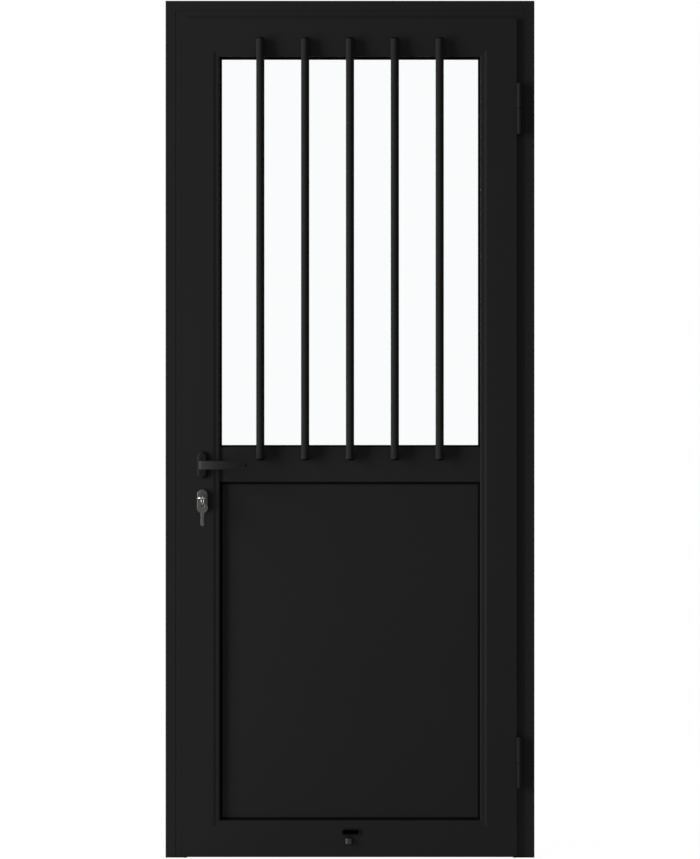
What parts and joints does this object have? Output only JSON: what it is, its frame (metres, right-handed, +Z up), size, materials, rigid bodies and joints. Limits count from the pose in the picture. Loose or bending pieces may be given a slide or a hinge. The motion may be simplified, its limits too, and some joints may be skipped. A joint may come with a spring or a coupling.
{
  "type": "aluminium door",
  "caption": "Black half-glazed aluminium door leaf hung in a three-sided frame, with upright guard bars over the glass, lever handles, lock with keys and a floor bolt.",
  "frame": {"origin": "on the floor line, midway between the jambs and midway through the leaf's depth", "axes": "+X towards the hinge side, +Y into the building, +Z up; the outside with the guard bars faces -Y"},
  "size_m": [0.9, 0.164, 2.09],
  "materials": {
    "black_coat": "satin black powder coat",
    "black_rubber": "matte",
    "black_brush": "brush",
    "clear_glass": "clear laminated",
    "mill_aluminium": "mill",
    "satin_nickel": "satin nickel",
    "bright_chrome": "polished",
    "zinc_steel": "zinc plated",
    "black_plastic": "moulded"
  },
  "bodies": {
    "frame": {"frame_jamb_lock": "black_coat", "frame_jamb_hinge": "black_coat", "frame_head": "black_coat", "frame_corner_cleats": "mill_aluminium", "frame_seals": "black_rubber", "strike_plate": "satin_nickel", "hinge_frame_half_upper": "black_coat", "hinge_frame_half_lower": "black_coat", "hinge_pins": "zinc_steel"},
    "leaf": {"leaf_stile_lock": "black_coat", "leaf_stile_hinge": "black_coat", "leaf_top_rail": "black_coat", "leaf_bottom_rail": "black_coat", "leaf_transom": "black_coat", "leaf_corner_cleats": "mill_aluminium", "transom_cleats": "mill_aluminium", "glass_pane": "clear_glass", "glass_gasket_outer": "black_rubber", "glass_gasket_inner": "black_rubber", "glass_beads": "black_coat", "infill_panel": "black_coat", "panel_gasket_outer": "black_rubber", "panel_gasket_inner": "black_rubber", "panel_beads": "black_coat", "guard_bar_1": "black_coat", "guard_bar_2": "black_coat", "guard_bar_3": "black_coat", "guard_bar_4": "black_coat", "guard_bar_5": "black_coat", "bar_end_caps": "black_plastic", "bar_saddles": "black_coat", "bar_screws": "zinc_steel", "hinge_leaf_half_upper": "black_coat", "hinge_leaf_half_lower": "black_coat", "lock_case": "zinc_steel", "lock_faceplate": "satin_nickel", "lock_screws": "zinc_steel", "lock_cylinder": "satin_nickel", "rose_outside": "black_coat", "rose_inside": "black_coat", "escutcheon_outside": "satin_nickel", "escutcheon_inside": "satin_nickel", "bottom_brush": "black_brush", "floor_bolt_rose": "black_plastic"},
    "lever": {"lever_outside": "black_coat", "lever_inside": "black_coat", "lever_spindle": "zinc_steel", "lock_follower": "zinc_steel"},
    "latch": {"latch_bolt": "zinc_steel"},
    "dead_bolt": {"dead_bolt": "zinc_steel"},
    "key": {"cylinder_plug": "satin_nickel", "key_in_lock": "satin_nickel", "key_ring": "bright_chrome", "spare_key": "satin_nickel"},
    "floor_turn": {"floor_bolt_turn": "black_coat"},
    "floor_rod": {"floor_bolt_rod": "zinc_steel"}
  },
  "joints": [
    {"name": "leaf_swing", "type": "hinge", "parent": "frame", "child": "leaf", "pos_m": [0.413, -0.027, 0], "axis": [0, 0, 1], "range_deg": [0, 110]},
    {"name": "lever_turn", "type": "hinge", "parent": "leaf", "child": "lever", "pos_m": [-0.359, 0, 0.958], "axis": [0, 1, 0], "range_deg": [0, 35], "stiffness_Nm_per_rad": 1, "springref_deg": -28.65},
    {"name": "latch_slide", "type": "slide", "parent": "leaf", "child": "latch", "axis": [1, 0, 0], "range_m": [0, 0.01]},
    {"name": "key_turn", "type": "hinge", "parent": "leaf", "child": "key", "pos_m": [-0.359, 0, 0.878], "axis": [0, 1, 0], "range_deg": [0, 360]},
    {"name": "bolt_slide", "type": "slide", "parent": "leaf", "child": "dead_bolt", "axis": [-1, 0, 0], "range_m": [0, 0.02]},
    {"name": "floor_turn", "type": "hinge", "parent": "leaf", "child": "floor_turn", "pos_m": [-0.0035, -0.024, 0.0435], "axis": [0, 1, 0], "range_deg": [0, 90]},
    {"name": "rod_slide", "type": "slide", "parent": "leaf", "child": "floor_rod", "axis": [0, 0, -1], "range_m": [0, 0.015]}
  ],
  "couplings": [
    {"joint": "latch_slide", "follows": "lever_turn", "m_per_rad": 0.01637},
    {"joint": "bolt_slide", "follows": "key_turn", "m_per_rad": 0.003183},
    {"joint": "floor_turn", "follows": "rod_slide", "rad_per_m": 104.72}
  ]
}
